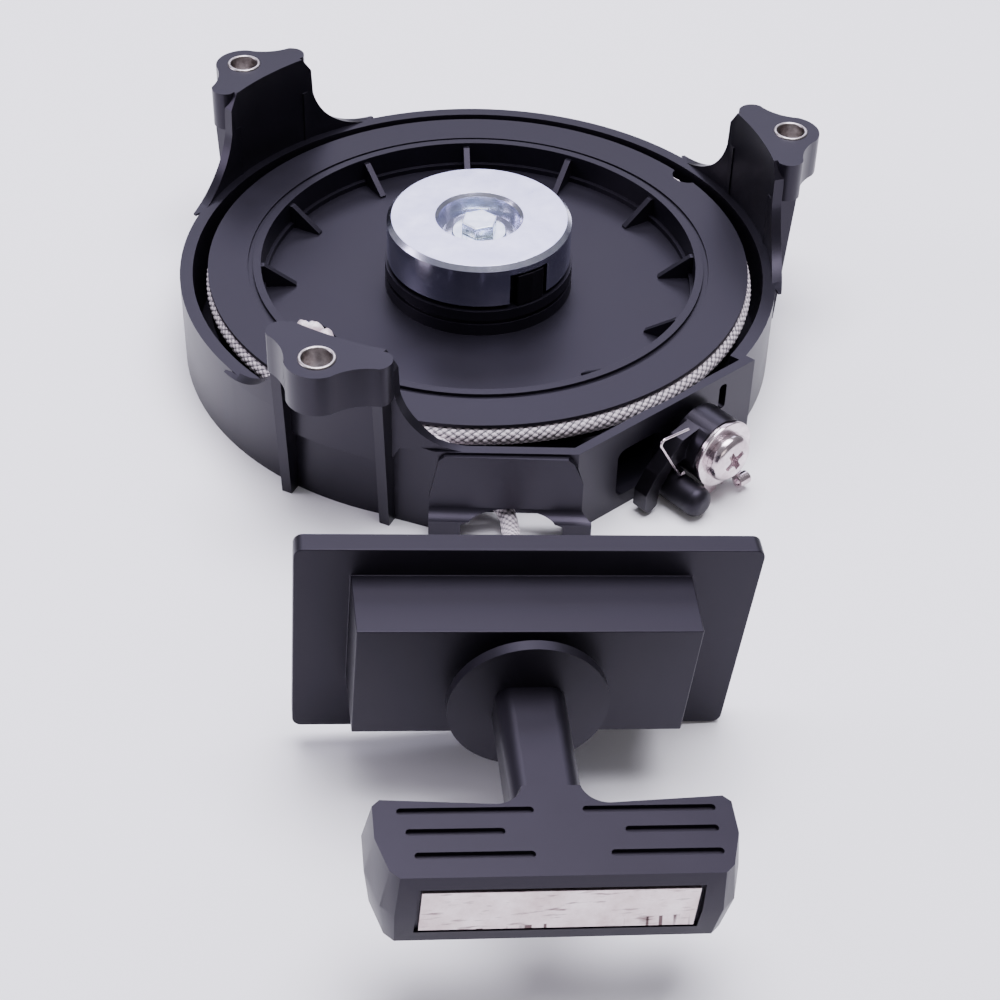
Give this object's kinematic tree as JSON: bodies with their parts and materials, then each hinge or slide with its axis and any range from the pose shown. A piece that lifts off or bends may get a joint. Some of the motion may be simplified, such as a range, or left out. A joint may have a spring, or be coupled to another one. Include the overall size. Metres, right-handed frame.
{
  "type": "recoil starter",
  "caption": "Pull-rope recoil starter: legged plastic case, rope drum with zinc ratchet cup, start-in-gear lever, cowl seal and T-handle on the rope.",
  "frame": {"origin": "on the drum's axis, at the flat back face of the case", "axes": "+Z along the drum's axis, out of the open side of the case; the pull handle points towards -Y; +X to the right seen from the handle"},
  "size_m": [0.2012, 0.3631, 0.0691],
  "materials": {
    "case_plastic": "moulded, fine grain",
    "drum_plastic": "moulded, satin",
    "plated_steel": "zinc plated",
    "plain_steel": "machined",
    "wear_washer": "nylon",
    "zinc_bolt": "zinc plated",
    "bronze": "sintered bronze",
    "rope": "solid braid",
    "melted_rope": "melted nylon",
    "spring_steel": "drawn",
    "zinc_plate": "bright zinc",
    "pawl_plastic": "moulded",
    "lever_plastic": "moulded",
    "nickel": "nickel plated",
    "knob_rubber": "moulded rubber",
    "seal_rubber": "moulded rubber",
    "grip_plastic": "moulded, satin",
    "insert_aluminium": "bare, scratched"
  },
  "bodies": {
    "case": {"starter_case": "case_plastic", "mount_collar_left": "plated_steel", "mount_collar_right": "plated_steel", "mount_collar_front": "plated_steel", "centre_post": "plain_steel", "spring_cup": "plain_steel", "recoil_spring": "spring_steel", "thrust_washer": "wear_washer", "friction_washer": "wear_washer", "bolt_washer": "plated_steel", "centre_bolt": "zinc_bolt", "interlock_bush": "bronze", "interlock_washer": "nickel", "interlock_screw": "nickel", "stop_knob": "knob_rubber", "rope_lead": "rope"},
    "drum": {"sheave_drum": "drum_plastic", "drum_bushing": "bronze", "rope_coil": "rope", "drum_knot": "melted_rope", "pawl_pin": "plain_steel", "pawl_spring": "spring_steel"},
    "ratchet_plate": {"friction_plate": "zinc_plate", "friction_spring": "spring_steel"},
    "pawl": {"drive_pawl": "pawl_plastic"},
    "lever": {"interlock_lever": "lever_plastic", "interlock_arm": "nickel", "interlock_spring": "spring_steel"},
    "seal": {"cowl_seal": "seal_rubber", "seal_bush": "lever_plastic"},
    "rope_end": {"handle_knot": "melted_rope", "rope_tail": "rope"},
    "grip": {"handle_grip": "grip_plastic", "handle_insert": "insert_aluminium"}
  },
  "joints": [
    {"name": "drum_spin", "type": "hinge", "parent": "case", "child": "drum", "pos_m": [0, 0, 0.02], "axis": [0, 0, 1], "range_deg": [0, 1020], "stiffness_Nm_per_rad": 0.045, "springref_deg": -687.55, "deforming": ["recoil_spring"]},
    {"name": "plate_turn", "type": "hinge", "parent": "drum", "child": "ratchet_plate", "pos_m": [0, 0, 0.04], "axis": [0, 0, 1], "range_deg": [-12, 0]},
    {"name": "pawl_swing", "type": "hinge", "parent": "drum", "child": "pawl", "pos_m": [-0.0049, -0.01835, 0.035], "axis": [0, 0, 1], "range_deg": [-21.6, 0]},
    {"name": "interlock_swing", "type": "hinge", "parent": "case", "child": "lever", "pos_m": [0.06479, -0.06557, 0.015], "axis": [0.6643, -0.7475, 0], "range_deg": [-12, 0], "stiffness_Nm_per_rad": 0.02, "springref_deg": 34.38, "deforming": ["interlock_spring"]},
    {"name": "seal_slide", "type": "slide", "parent": "case", "child": "seal", "axis": [0.1236, -0.9923, 0], "range_m": [-0.055, 0], "deforming": ["rope_lead"]},
    {"name": "handle_pull", "type": "slide", "parent": "seal", "child": "rope_end", "axis": [0.1236, -0.9923, 0], "range_m": [0, 1.41], "deforming": ["rope_tail"]},
    {"name": "handle_swivel", "type": "hinge", "parent": "rope_end", "child": "grip", "pos_m": [0.0139, -0.1768, 0.0386], "axis": [0.1236, -0.9923, 0], "range_deg": [-90, 90]}
  ],
  "couplings": [
    {"joint": "handle_pull", "follows": "drum_spin", "m_per_rad": 0.0791},
    {"joint": "pawl_swing", "follows": "plate_turn", "ratio": 1.8}
  ]
}
